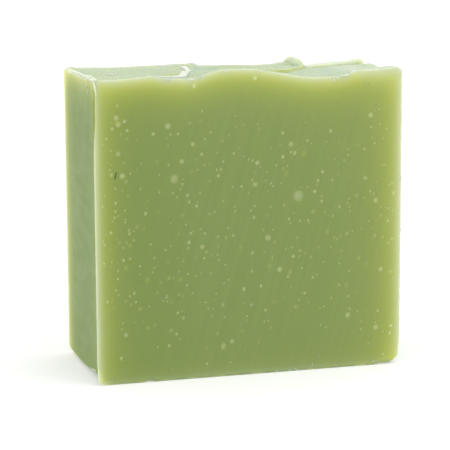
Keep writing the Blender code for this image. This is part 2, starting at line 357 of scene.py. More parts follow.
def build_belt():
    """Belt points as an array of stations x rows x 3, with the cutter's lips and broken edges."""
    names, shares = section_stations()
    y_row, turn = row_places()
    at_cut = np.abs(y_row) > HALF_T - 1e-6
    angle = turn * math.pi / 2
    y_row = np.where(at_cut, np.sign(y_row) * (HALF_T - CUT_RADIUS * (1 - np.sin(angle))), y_row)
    inset = np.where(at_cut, CUT_RADIUS * (1 - np.cos(angle)), 0.0)
    x, z = section(names, shares, y_row)
    y = y_row[None, :] + 0.0 * x

    inland = smooth((HALF_T - np.abs(y)) / 2.0)
    pocks = 0.05 * rough(x, y, 0.0, 0.75, 3.0) + 0.04 * rough(x, y, 0.0, 2.4, 8.0)
    z = z + (names == "top")[:, None] * inland * pocks

    out_x, out_z = outward_in_section(x, z)
    offset = left_lip(names, shares, y, z) + wall_unevenness(names, x, y, z, inland) - inset[None, :]
    lean = FOOT_LEAN * smooth(1.0 - z / FOOT_LEAN_HEIGHT) * smooth((x - 30.0) / 4.0)
    x, z = x + out_x * offset - lean, z + out_z * offset

    near_floor = np.clip(1.0 - z / 4.0, 0.0, 1.0)
    near_front = smooth(1.0 - (y + HALF_T) / 1.6)
    z = np.maximum(z, 0.0) + foot_lift(x) * near_floor * near_front
    return np.stack([x, y, z], -1)


# ---------------------------------------------------------------- the cut faces

# The clearest open bubbles in the front cut: x, z and radius.
FRONT_BUBBLES = (
    (10.8, 39.8, 1.05), (-17.4, 45.0, 0.78), (-18.7, 56.6, 0.62), (-30.1, 58.8, 0.55), (-29.7, 57.4, 0.6),
    (-31.0, 56.5, 0.35), (-28.3, 58.0, 0.35), (-29.8, 51.0, 0.5), (-28.9, 46.2, 0.55), (22.5, 12.0, 0.55),
    (-6.5, 6.9, 0.55), (-4.5, 7.9, 0.45), (3.8, 30.8, 0.65), (6.5, 23.5, 0.55), (9.1, 51.4, 0.5),
    (29.2, 8.7, 0.55), (30.3, 22.1, 0.5), (0.9, 42.9, 0.55), (-15.7, 48.7, 0.45), (-28.6, 11.0, 0.45),
    (-11.2, 29.6, 0.45), (-13.2, 52.4, 0.4), (1.4, 47.6, 0.45), (27.6, 57.1, 0.5), (28.9, 37.9, 0.5),
    (-12.8, 65.0, 0.42), (0.9, 66.3, 0.45), (26.5, 43.0, 0.45), (14.6, 40.6, 0.4), (-22.0, 55.0, 0.35),
)
Bubble = namedtuple("Bubble", "x z radius drag pale")
SMALL_RADIUS = 0.4  # below this radius a bubble is made of fewer points
SMALL_RINGS = (7, (0.6, 1.3))  # the points in each of its rings, and each ring's share of its radius
LARGE_RINGS = (14, (0.45, 0.8, 1.0, 1.3))
CLEAR_SHARE = 1.3  # the share of a bubble's radius within which no other points lie
DRAG_TILT = 17.0  # how far from upright the wire drew the bubbles out, in degrees
SCATTER_SIDE = 33.4  # how far left and right of the middle the scattered bubbles reach
SCATTER_LOW, SCATTER_HIGH = 1.6, 64.6  # their lowest and highest places
CROWD_FROM, CROWD_WIDTH = -33.0, 7.0  # the band near the left edge where some of them crowd
CUTS = ((-1.0, 310, 90), (1.0, 170, 50))  # each cut's side in y, its small bubbles and its soft spots
# The plain points of a cut, finer near its edge: their spacing, and the least and greatest gap to the edge.
FIELDS = ((0.45, 0.25, 1.2), (0.9, 1.2, 3.2), (1.4, 3.2, 99.0))
FIELD_ROWS = 0.87  # their rows' distance as a share of the spacing, for nearly even triangles
FIELD_JITTER = 0.12  # how far they stray, as a share of the spacing


def with_drag(bubbles):
    """Each bubble with how far the wire drew it out, and how pale it is."""
    return [Bubble(*bubble, rng.uniform(1.0, 1.3), rng.uniform(0.75, 1.0)) for bubble in bubbles]


def scattered_bubbles(count, smallest, largest, taken, edge_share, palest):
    """More bubbles at random, clear of the ones taken. A share of them crowds near the left edge."""
    found = []
    while len(found) < count:
        radius = smallest + (largest - smallest) * rng.random() ** 2
        x = rng.uniform(-SCATTER_SIDE, SCATTER_SIDE)
        if rng.random() < edge_share:
            x = CROWD_FROM + CROWD_WIDTH * rng.random() ** 1.5
        z = SCATTER_LOW + (SCATTER_HIGH - SCATTER_LOW) * (0.65 * rng.random() + 0.35 * rng.random())
        if all(math.hypot(x - other.x, z - other.z) > 1.5 * (radius + other.radius) for other in taken):
            found.append(Bubble(x, z, radius, rng.uniform(1.0, 1.6), palest * rng.uniform(0.45, 1.0)))
            taken.append(found[-1])
    return found


def cut_bubbles(outward, small_count, soft_count):
    """The open bubbles of a cut face, and the soft spots of those that lie just below it."""
    clear = with_drag(FRONT_BUBBLES) if outward < 0 else []
    taken = list(clear)
    small = scattered_bubbles(small_count, 0.16, 0.36, taken, edge_share=0.06, palest=1.0)
    soft = scattered_bubbles(soft_count, 0.25, 0.55, taken, edge_share=0.15, palest=0.7)
    return clear + small, soft


def bubble_frame(x, z, bubble):
    """The place of each (x, z) in a bubble's own frame, where its outline is the unit circle."""
    tilt = math.radians(DRAG_TILT)
    dx, dz = x - bubble.x, z - bubble.z
    across = dx * math.cos(tilt) - dz * math.sin(tilt)
    along = dx * math.sin(tilt) + dz * math.cos(tilt)
    return across / bubble.radius, along / (bubble.radius * bubble.drag)


def gap_to_ring(points, ring):
    """Distance from each point to the nearest point of the ring, in slices to save memory."""
    gaps = [
        np.hypot(part[:, None, 0] - ring[None, :, 0], part[:, None, 1] - ring[None, :, 1]).min(1)
        for part in np.array_split(points, max(1, len(points) // 2000))
    ]
    return np.concatenate(gaps)


def jittered_field(ring, spacing, nearest, farthest, bubbles):
    """Points about the spacing apart, whose distance to the ring lies in a range, outside the bubbles."""
    low_corner, high_corner = ring.min(0), ring.max(0)
    xs = np.arange(low_corner[0], high_corner[0], spacing)
    zs = np.arange(low_corner[1], high_corner[1], spacing * FIELD_ROWS)
    points = np.array([
        (x + spacing * (0.5 * (row % 2) + rng.uniform(-FIELD_JITTER, FIELD_JITTER)),
         z + spacing * rng.uniform(-FIELD_JITTER, FIELD_JITTER))
        for row, z in enumerate(zs) for x in xs
    ])
    gap = gap_to_ring(points, ring)
    keep = (gap > nearest) & (gap <= farthest)
    for bubble in bubbles:
        clear = bubble.radius * bubble.drag * CLEAR_SHARE + 0.35 * spacing
        keep &= np.hypot(points[:, 0] - bubble.x, points[:, 1] - bubble.z) > clear
    return points[keep]


def bubble_points(bubbles):
    """The points of each bubble: its middle and the rings round it."""
    points = []
    tilt = math.radians(DRAG_TILT)
    for x, z, radius, drag, _ in bubbles:
        sides, shares = SMALL_RINGS if radius < SMALL_RADIUS else LARGE_RINGS
        points.append((x, z))
        for row, share in enumerate(shares):
            for k in range(sides):
                angle = (k + 0.5 * (row % 2)) * 2 * math.pi / sides
                across, along = radius * share * math.cos(angle), radius * drag * share * math.sin(angle)
                points.append((
                    x + across * math.cos(tilt) + along * math.sin(tilt),
                    z - across * math.sin(tilt) + along * math.cos(tilt),
                ))
    return np.array(points)


def build_cap(ring, bubbles):
    """A flat face inside the ring: its (x, z) points, its triangles, and each point's number in the ring,
    which is below zero or past the ring's end for the points inside."""
    fields = [jittered_field(ring, *field, bubbles) for field in FIELDS]
    given = np.vstack([ring, bubble_points(bubbles), *fields])
    made, _, triangles, origins, _, _ = delaunay_2d_cdt(
        [Vector(p) for p in given.tolist()], [], [list(range(len(ring)))], 1, 1e-5
    )
    points = np.array([tuple(p) for p in made])
    source = np.array([min(o) if o else -1 for o in origins])
    return points, triangles, source


def bubble_relief(x, z, bubbles):
    """How deep the bubbles sink below a cut face at each point, and how pale each point is."""
    depth, pale = np.zeros(x.shape), np.zeros(x.shape)
    for bubble in bubbles:
        near = np.hypot(*bubble_frame(x, z, bubble))
        bowl = np.clip(1.0 - near**2, 0.0, None) ** 0.7
        rim = np.exp(-(((near - 1.08) / 0.16) ** 2))
        depth = depth + bubble.radius * (0.32 * bowl - 0.03 * rim)
        pale = np.maximum(pale, bubble.pale * smooth((1.35 - near) / 0.95))
    return depth, pale


def build_cut(ring, outward, bubbles, soft, seed):
    """A cut face with its bubbles sunk in: its points, triangles and numbers in the ring, and how strongly
    each point shows an open bubble and a soft spot."""
    flat_points, triangles, source = build_cap(ring, bubbles + soft)
    x, z = flat_points.T
    sunk, pale = bubble_relief(x, z, bubbles)
    _, soft_pale = bubble_relief(x, z, soft)
    inland = smooth((gap_to_ring(flat_points, ring) - 0.3) / 5.0)
    wave = 0.05 * rough(x * 1.6 + z * 0.3, 0.0, z * 0.25, 5.0, seed) * inland
    y = outward * (HALF_T - sunk * (0.12 + 0.88 * inland) * (inland > 0) - np.abs(wave))
    return np.stack([x, y, z], -1), triangles, source, pale, soft_pale


# ---------------------------------------------------------------- the soap's mesh

def build_soap():
    """The bar as one closed mesh, its points, and how far each of them lies on a cut face, in an open
    bubble and on a soft spot."""
    belt = build_belt()
    stations, rows = belt.shape[:2]
    points = [belt.reshape(-1, 3)]
    faces = []
    for i in range(stations):
        after = (i + 1) % stations
        for j in range(rows - 1):
            faces.append((i * rows + j, i * rows + j + 1, after * rows + j + 1, after * rows + j))
    total = stations * rows
    pits, blobs = [np.zeros(total)], [np.zeros(total)]
    on_cut = [smooth((np.abs(points[0][:, 1]) - HALF_T + 0.16) / 0.14)]

    for outward, small_count, soft_count in CUTS:
        row = 0 if outward < 0 else rows - 1
        ring = belt[:, row, :][:, [0, 2]]
        bubbles, soft = cut_bubbles(outward, small_count, soft_count)
        cut_points, triangles, source, pale, soft_pale = build_cut(ring, outward, bubbles, soft, 30.0 + row)
        new = (source < 0) | (source >= stations)
        index = np.where(new, total + np.cumsum(new) - 1, source * rows + row).tolist()
        for triangle in triangles:
            corners = tuple(index[k] for k in triangle)
            faces.append(corners if outward < 0 else corners[::-1])
        points.append(cut_points[new])
        pits.append(pale[new])
        blobs.append(soft_pale[new])
        on_cut.append(np.ones(new.sum()))
        total += new.sum()

    mesh = bpy.data.meshes.new("soap_surface")
    points = np.vstack(points)
    mesh.from_pydata((points * MM).tolist(), [], faces)
    mesh.validate()
    mesh.shade_smooth()
    soap = bpy.data.objects.new("soap_surface", mesh)
    bpy.context.scene.collection.objects.link(soap)
    return soap, points, *(np.concatenate(amounts) for amounts in (on_cut, pits, blobs))


# ---------------------------------------------------------------- what the material is told at each point

# The glow is painted light: light that comes through the translucent soap near its edges, laid into the base
# colour.
GLOW_REACH = 2.5  # how far in from an edge light still comes through
WIDE_REACH = 14.0  # how far in a faint part of it goes
# The pale line along an edge is partly the break's pale soap and partly a painted highlight where the edge
# catches light.
RIM_REACH = 1.1  # the width of the pale line along an edge
EDGE_LIGHT = {  # each edge's glow, its faint wide glow and how pale its line is
    "top": (1.0, 0.07, 0.95),
    "right": (0.74, 0.1, 1.0),
    "left": (0.62, 0.0, 0.85),
    "foot": (0.09, 0.03, 0.3),
}
HOLLOWS = ((-8.4, -4.6, 2.4, 5.0), (-4.5, 4.0, 3.0, 5.0), (22.0, -3.0, 5.0, 9.0))  # x, y and half sizes


def cut_glow(x, z, top_z, soft_top):
    """On a cut face: the painted yellow glow of light coming through inside its edges, and the pale line
    right on them, partly pale soap and partly a painted highlight.
    """
    gaps = {"top": top_z - z, "right": HALF_W - x, "left": HALF_W + x, "foot": z}
    gaps = {edge: np.clip(gap, 0.0, None) for edge, gap in gaps.items()}
    glow_gaps = {**gaps, "top": np.clip(soft_top - z, 0.0, None)}
    reaches = {
        "top": RIM_REACH + 0.6 * smooth((x - 20.0) / 12.0), "right": RIM_REACH, "left": 0.9 * RIM_REACH,
        "foot": RIM_REACH,
    }
    glow, rim = np.zeros(x.shape), np.zeros(x.shape)
    for edge, (strength, wide, pale) in EDGE_LIGHT.items():
        glow = 1.0 - (1.0 - glow) * (1.0 - 0.98 * strength * np.exp(-glow_gaps[edge] / GLOW_REACH))
        glow = glow + wide * np.exp(-glow_gaps[edge] / WIDE_REACH)
        rim = 1.0 - (1.0 - rim) * (1.0 - pale * np.exp(-((gaps[edge] / reaches[edge]) ** 1.3)))
    glow = glow + 0.3 * np.exp(-gaps["right"] / 6.0 - gaps["foot"] / 3.5)
    glow = glow + 0.13 * np.exp(-gaps["top"] / 4.0 - gaps["right"] / 9.0)
    glow = glow * (1.0 - 0.55 * np.exp(-gaps["foot"] / 1.2 - gaps["left"] / 2.5))
    rim = np.maximum(rim, 0.4 * np.exp(-gaps["top"] / 3.0 - gaps["right"] / 4.0))
    return np.minimum(glow, 0.96), rim


def soft_top_height(x, y):
    """The top's height with its steps smoothed out, which the painted glow below the top edge follows."""
    inner = HALF_W - RIM_RADIUS
    heights = [top_height(np.clip(x + shift, -inner, inner), y) for shift in (-3.0, -1.5, 0.0, 1.5, 3.0)]
    return np.mean(heights, axis=0)


def wall_glow(y, z, top_z):
    """On a mould wall: the painted glow of light coming through below the top and beside the cuts."""
    return (
        0.6 * np.exp(-(top_z - z) / 2.0) + 0.95 * np.exp(-(HALF_T - y) / 2.8)
        + 0.12 * np.exp(-(HALF_T + y) / GLOW_REACH) + 0.08 * np.exp(-z / GLOW_REACH)
    )


def riser_shade_amount(x, y):
    """How strongly painted shade and glow show through the ash at the riser of each fold."""
    riser_shade = np.zeros(x.shape)
    for layer in LAYERS:
        side, share = beside_path(smooth_path(layer["path"]), x, y)
        present = np.clip(smooth_line(layer["thickness"], share) / 0.5, 0.0, 1.0)
        riser_shade = np.maximum(riser_shade, layer["riser_shading"] * present * np.exp(-((side / (0.7 * layer["riser"])) ** 2)))
    return riser_shade


def bloom_and_light_amount(x, y, z, below, on_top, on_cut, lip):
    """Pale bloom on the left rim, the front step's edge and the knob; paler towards the top's right end and
    on the burr near the top; and painted light: the back fold's riser lightened against its shade, and the
    back edges lit through from behind.
    """
    left_band = smooth((-33.5 - x) / 0.7) * smooth((0.95 - below) / 0.4) * smooth((y + 16.5) / 3.0)
    left_band = left_band * (0.65 + 0.35 * rough(x, y, z, 1.7, 6.0))
    side, share = beside_path(smooth_path(FRONT_STEP["path"]), x, y)
    step_edge = 0.6 * np.exp(-(((side - 0.5) / 0.5) ** 2)) * smooth((share - 0.5) / 0.2)
    side, share = beside_path(smooth_path(BACK_FOLD["path"]), x, y)
    # Painted light: the back fold's riser made paler where it faces away from the top light.
    ridge_light = 0.75 * smooth((side + 0.4) / 0.5) * smooth(share / 0.1)
    knob = 0.35 * mound_height(KNOB, x, y)
    right_end = 0.3 * smooth((x - 23.0) / 5.0)
    # Painted light: the back edges lit through from behind.
    top_back_light = 0.85 * np.exp((y - HALF_T) / 1.6) * np.exp(-((below / 0.6) ** 2))
    wall_back_light = 0.75 * np.exp((y - HALF_T) / 1.4) * (1.0 - on_cut)
    lip_top = 0.3 * lip * smooth((z - 61.5) / 2.0)
    on_the_top = np.max([step_edge, ridge_light, knob, right_end], axis=0) * on_top
    return np.max([left_band, on_the_top, top_back_light, wall_back_light, lip_top], axis=0)


def hollow_amount(x, y):
    """How far each place on the top lies in one of its shaded, bluish hollows."""
    reaches = [
        ((x - centre_x) / half_x) ** 2 + ((y - centre_y) / half_y) ** 2
        for centre_x, centre_y, half_x, half_y in HOLLOWS
    ]
    return np.exp(-np.min(reaches, axis=0))


def foot_amount(x, y, z):
    """A patchy shaded line along the foot of the front cut."""
    patchy = smooth((rough(x, 0.0, 0.0, 3.0, 14.0) + 0.3) / 0.5)
    return (y < 0.0) * smooth((foot_lift(x) + 0.55 - z) / 0.35) * patchy


def set_attribute(mesh, name, values):
    """Stores one amount from 0 to 1 for each point of the mesh."""
    layer = mesh.attributes.new(name, "FLOAT", "POINT")
    layer.data.foreach_set("value", np.clip(values, 0.0, 1.0).astype(np.float32))


def paint_soap(soap, points, on_cut, pits, blobs):
    """Per-point amounts for the material: what share of each point is ash, painted glow, pale rim with
    painted highlight, painted shade and so on.
    """
    mesh = soap.data
    normals = np.empty(len(mesh.vertices) * 3, np.float32)
    mesh.vertex_normals.foreach_get("vector", normals)
    up = normals.reshape(-1, 3)[:, 2]
    x, y, z = points.T
    top_z = top_height(x, y)
    below = np.clip(top_z + rim_drop(x) - z, 0.0, None)
    inside = smooth((HALF_W - np.abs(x) - 0.05) / 0.45)
    facing_up = smooth((up - 0.3) / 0.35)
    on_top = smooth((z - top_z + 0.9) / 0.5) * (on_cut * facing_up + (1.0 - on_cut) * inside)
    on_wall = (1.0 - on_cut) * (1.0 - on_top)
    lip = smooth((-x - HALF_W + 0.06) / 0.18) * smooth((0.8 - (y + HALF_T)) / 0.4)

    # Painted shade and glow: the ash thins at each fold's riser and in the groove behind the curl, so a
    # shaded, lit-through yellow-green band shows; it also thins a little where the top is steep.
    riser_shade = riser_shade_amount(x, y) * on_top
    groove_shade = 0.7 * mound_height(GROOVE, x, y) / GROOVE.height * on_top
    slope = 0.12 * smooth((0.96 - up) / 0.14) * on_top
    ash = on_top * (1.0 - 0.85 * np.max([riser_shade, groove_shade, slope], axis=0))

    # Painted glow of light coming through near the edges, on the cuts, the walls and under the top's ash.
    edge_glow, edge_rim = cut_glow(x, z, top_z, soft_top_height(x, y))
    other_glow = wall_glow(y, z, top_z) * (1.0 - on_top) + on_top * (0.75 - 0.5 * riser_shade)
    glow = on_cut * edge_glow + (1.0 - on_cut) * other_glow
    glow = glow * (1.0 - 0.5 * lip) * (1.0 - 0.6 * lip * np.exp(-z / 1.5))

    # Pale rim: partly the burr's and the break's pale soap, partly a painted highlight where the cut edges
    # and the walls' rounded tops catch light.
    edge_gap = np.clip(HALF_T - np.abs(y), 0.0, None)
    top_edge = 0.25 * np.exp(-edge_gap / 0.7) * smooth((z - top_z + 1.5) / 1.0)
    wall_top = 0.3 * np.exp(-below / 2.2) * on_wall
    rim = np.max([edge_rim * on_cut, 0.66 * lip, top_edge, wall_top], axis=0)

    amounts = {
        "ash": ash, "glow": glow, "rim": rim, "wall": on_wall, "blob": blobs,
        "bloom_and_light": bloom_and_light_amount(x, y, z, below, on_top, on_cut, lip),
        "teal": on_top * hollow_amount(x, y),
        "foot": on_cut * foot_amount(x, y, z),
        # Painted shade: the front cut darker towards its left.
        "deep": 0.7 * on_cut * smooth((-8.0 - x) / 20.0),
        # Open bubbles are pale, and paler where the painted glow is.
        "pit": pits * (0.5 + 0.35 * np.clip(glow * 2.0, 0.0, 1.0)),
    }
    for name, values in amounts.items():
        set_attribute(mesh, name, values)


# ---------------------------------------------------------------- materials

MIX_INPUTS = (0, 6, 7)  # the factor and the two colours of a Mix node for colours
MIX_RESULT = 2


def new_material(name):
    """A new material, its node tree and its shader."""
    material = bpy.data.materials.new(name)
    material.use_nodes = True
    return material, material.node_tree, material.node_tree.nodes["Principled BSDF"]


def feed(tree, value, socket):
    """Links a socket, or sets a plain value."""
    if isinstance(value, bpy.types.NodeSocket):
        tree.links.new(value, socket)
    else:
        socket.default_value = value


def feed_all(tree, node, values):
    """Feeds a node's inputs by name."""
    for name, value in values.items():
        feed(tree, value, node.inputs[name])


def mix_colour(tree, factor, first, second, blend="MIX"):
    """A mix from the first colour to the second. Colours are sockets or RGBA tuples."""
    mix = tree.nodes.new("ShaderNodeMix")
    mix.data_type = "RGBA"
    mix.blend_type = blend
    for place, value in zip(MIX_INPUTS, (factor, first, second)):
        feed(tree, value, mix.inputs[place])
    return mix.outputs[MIX_RESULT]


def times(tree, value, factor, more=0.0):
    """The value times the factor, plus more, kept between 0 and 1."""
    node = tree.nodes.new("ShaderNodeMath")
    node.operation = "MULTIPLY_ADD"
    node.use_clamp = True
    for place, number in enumerate((value, factor, more)):
        feed(tree, number, node.inputs[place])
    return node.outputs[0]


def attribute(tree, name):
    """One of the amounts stored at the mesh's points."""
    node = tree.nodes.new("ShaderNodeAttribute")
    node.attribute_name = name
    return node.outputs["Fac"]


def grain(tree, sizes, detail=2.0, turn=0.0):
    """Noise in the object's own space, with features of the given x, y and z sizes in millimetres."""
    place = tree.nodes.new("ShaderNodeTexCoord")
    stretch = tree.nodes.new("ShaderNodeMapping")
    stretch.vector_type = "TEXTURE"
    feed_all(tree, stretch, {
        "Vector": place.outputs["Object"], "Rotation": (0.0, math.radians(turn), 0.0),
        "Scale": [size * MM for size in sizes],
    })
    texture = tree.nodes.new("ShaderNodeTexNoise")
    feed_all(tree, texture, {"Vector": stretch.outputs["Vector"], "Scale": 1.0, "Detail": detail})
    return texture.outputs["Fac"]


def span(tree, value, low_in, high_in, low_out=0.0, high_out=1.0):
    """The value's range from low_in to high_in stretched to low_out to high_out, with soft ends."""
    node = tree.nodes.new("ShaderNodeMapRange")
    node.interpolation_type = "SMOOTHSTEP"
    feed_all(tree, node, {
        "Value": value, "From Min": low_in, "From Max": high_in, "To Min": low_out, "To Max": high_out,
    })
    return node.outputs["Result"]


# Colours as linear red, green, blue and alpha.
CUT_GREEN = (0.236, 0.313, 0.102, 1.0)
CUT_DARK = (0.210, 0.290, 0.090, 1.0)
# Painted shade: the cut's colour towards its left side.
CUT_LEFT_SHADE = (0.215, 0.295, 0.080, 1.0)
WALL_GREEN = (0.170, 0.249, 0.065, 1.0)
WALL_PALE = (0.184, 0.263, 0.073, 1.0)
# Painted light: the yellow glow of light coming through the soap near its edges.
GLOW_YELLOW = (0.66, 0.69, 0.105, 1.0)
# The pale rim: pale soap and a painted highlight along the edges.
EDGE_PALE_AND_HIGHLIGHT = (0.495, 0.56, 0.49, 1.0)
# Pale bloom, and painted light on the back fold's riser and along the back edges.
BLOOM_AND_LIGHT_PALE = (0.72, 0.78, 0.63, 1.0)
ASH = (0.385, 0.475, 0.305, 1.0)
ASH_LIGHT = (0.56, 0.64, 0.455, 1.0)
TEAL = (0.38, 0.50, 0.385, 1.0)
BLOB_YELLOW = (0.36, 0.41, 0.135, 1.0)
CURL_PALE = (0.68, 0.73, 0.61, 1.0)
CURL_WHITE = (0.78, 0.82, 0.73, 1.0)
CRUMB_PALE = (0.58, 0.66, 0.45, 1.0)
CRUMB_WHITE = (0.76, 0.82, 0.66, 1.0)
HERB_DARK = (0.03, 0.085, 0.006, 1.0)
HERB_GREEN = (0.10, 0.21, 0.015, 1.0)
PIT_PALE = (0.66, 0.71, 0.38, 1.0)
FOOT_GREY = (0.135, 0.17, 0.115, 1.0)


def soap_material():
    """Translucent soap. Its colour is the cut's own, with the others laid over it one by one; the glow, the
    left side's shade and parts of the rim and the bloom are painted light and shade.
    """
    material, tree, shader = new_material("soap")
    streaks = span(tree, grain(tree, (1.0, 9.0, 34.0), turn=DRAG_TILT), 0.35, 0.65)
    clouds = span(tree, grain(tree, (4.0, 3.5, 2.0), 3.0), 0.35, 0.65)
    specks = span(tree, grain(tree, (0.55, 0.55, 0.55)), 0.52, 0.68)
    thin = span(tree, grain(tree, (1.6, 1.6, 1.6), 3.0), 0.3, 0.6, 0.86, 1.0)
    wall = mix_colour(tree, clouds, WALL_GREEN, WALL_PALE)
    ash = mix_colour(tree, specks, ASH, ASH_LIGHT)
    ash = mix_colour(tree, times(tree, attribute(tree, "teal"), 0.8), ash, TEAL)
    body = mix_colour(tree, times(tree, streaks, 0.35), CUT_GREEN, CUT_DARK)
    for cover, colour, blend in (
        (attribute(tree, "deep"), CUT_LEFT_SHADE, "MIX"),
        (attribute(tree, "wall"), wall, "MIX"),
        (attribute(tree, "glow"), GLOW_YELLOW, "MIX"),
        (times(tree, attribute(tree, "ash"), thin), ash, "MIX"),
        (attribute(tree, "rim"), EDGE_PALE_AND_HIGHLIGHT, "MIX"),
        (attribute(tree, "bloom_and_light"), BLOOM_AND_LIGHT_PALE, "MIX"),
        (attribute(tree, "blob"), BLOB_YELLOW, "LIGHTEN"),
        (attribute(tree, "pit"), PIT_PALE, "LIGHTEN"),
        (times(tree, attribute(tree, "foot"), 0.5), FOOT_GREY, "MIX"),
    ):
        body = mix_colour(tree, cover, body, colour, blend)

    polish = span(tree, grain(tree, (5.0, 12.0, 4.0), 3.0), 0.3, 0.7, 0.46, 0.56)
    bump = tree.nodes.new("ShaderNodeBump")
    feed_all(tree, bump, {
        "Height": grain(tree, (0.35, 0.35, 0.5), 3.0), "Strength": 0.25, "Distance": 0.06 * MM,
    })
    feed_all(tree, shader, {
        "Base Color": body, "Roughness": times(tree, attribute(tree, "ash"), 0.25, polish),
        "Specular IOR Level": 0.2, "Normal": bump.outputs["Normal"],
        "Subsurface Weight": 1.0, "Subsurface Radius": (1.0, 0.9, 0.35), "Subsurface Scale": 3.0 * MM,
    })
    return material


def pale_material(name, first, second):
    """Dry, bloomed soap, flecked from the first colour to the second."""
    material, tree, shader = new_material(name)
    flecks = span(tree, grain(tree, (0.5, 0.5, 0.5), 3.0), 0.35, 0.65)
    feed_all(tree, shader, {
        "Base Color": mix_colour(tree, flecks, first, second),
        "Roughness": span(tree, flecks, 0.0, 1.0, 0.6, 0.75), "Specular IOR Level": 0.2,
        "Subsurface Weight": 1.0, "Subsurface Radius": (1.0, 0.95, 0.7), "Subsurface Scale": 0.6 * MM,
    })
    return material


def herb_material():
    """Dried leaf with fine veins along it."""
    material, tree, shader = new_material("herb")
    veins = span(tree, grain(tree, (0.12, 0.2, 0.7)), 0.35, 0.65)
    feed_all(tree, shader, {
        "Base Color": mix_colour(tree, veins, HERB_DARK, HERB_GREEN),
        "Roughness": span(tree, veins, 0.0, 1.0, 0.6, 0.8),
    })
    return material


# ---------------------------------------------------------------- the curl, the crumbs and the leaf

# The curl's middle line seen from above, and its height and width along that line.
CURL_SPINE = (
    (-23.0, -15.4), (-20.6, -15.1), (-18.6, -14.9), (-16.7, -14.5), (-15.2, -13.4), (-13.9, -11.0),
    (-12.5, -7.6), (-11.1, -4.3), (-10.2, -1.6), (-9.5, 1.6), (-9.0, 5.0), (-8.6, 8.8),
)
CURL_HEIGHT = (
    (0.0, 0.05), (0.1, 0.18), (0.25, 0.3), (0.4, 0.5), (0.6, 0.5), (0.8, 0.44), (1.0, 0.34),
)
CURL_WIDTH = ((0.0, 0.3), (0.2, 0.5), (0.33, 1.0), (0.45, 1.6), (0.62, 1.6), (0.8, 1.35), (1.0, 1.7))
CURL_SUNK = 0.4  # how deep its foot stands in the top
CURL_LEAN = -0.12  # how far it leans over, as a share of its height
CURL_STEPS = 7  # the points up each of its sides


def mesh_piece(name, bm, material):
    """A piece from a bmesh in millimetres, with its faces turned outwards."""
    bmesh.ops.recalc_face_normals(bm, faces=bm.faces[:])
    bmesh.ops.scale(bm, vec=(MM, MM, MM), verts=bm.verts[:])
    mesh = bpy.data.meshes.new(name)
    bm.to_mesh(mesh)
    bm.free()
    mesh.shade_smooth()
    mesh.materials.append(material)
    piece = bpy.data.objects.new(name, mesh)
    bpy.context.scene.collection.objects.link(piece)
    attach(piece, "root")
    return piece


def build_curl():
    """The thin flap of batter that curls up along the end of the long fold."""
    spine = smooth_path(CURL_SPINE, 9)
    along = np.gradient(spine, axis=0)
    along /= np.hypot(*along.T)[:, None]
    share = np.linspace(0.0, 1.0, len(spine))
    height = smooth_line(CURL_HEIGHT, share) * (1.0 + 0.18 * rough(spine[:, 0], spine[:, 1], 0.0, 1.1, 4.0))
    width = smooth_line(CURL_WIDTH, share) * (1.0 + 0.2 * rough(spine[:, 0], spine[:, 1], 0.0, 1.5, 9.0))
    ground = top_height(spine[:, 0], spine[:, 1])
    bm = bmesh.new()
    loops = []
    for (x, y), (ax, ay), tall, wide, base in zip(spine, along, height, width, ground):
        loop = []
        for way in (1, -1):
            for k in range(CURL_STEPS)[::way]:
                up = k / (CURL_STEPS - 1)
                half = 0.5 * wide * (1.0 - 0.3 * up**2)
                shift = CURL_LEAN * tall * up**1.6 + way * half
                rise = (tall + CURL_SUNK) * up - CURL_SUNK - 0.12 * tall * up**4
                loop.append(bm.verts.new((x + ay * shift, y - ax * shift, base + rise)))
        loops.append(loop)
    for first, second in zip(loops, loops[1:]):
        for k in range(len(first)):
            after = (k + 1) % len(first)
            bm.faces.new((first[k], first[after], second[after], second[k]))
    bm.faces.new(loops[0])
    bm.faces.new(loops[-1])
    return mesh_piece("top_curl", bm, pale_material("curl", CURL_PALE, CURL_WHITE))


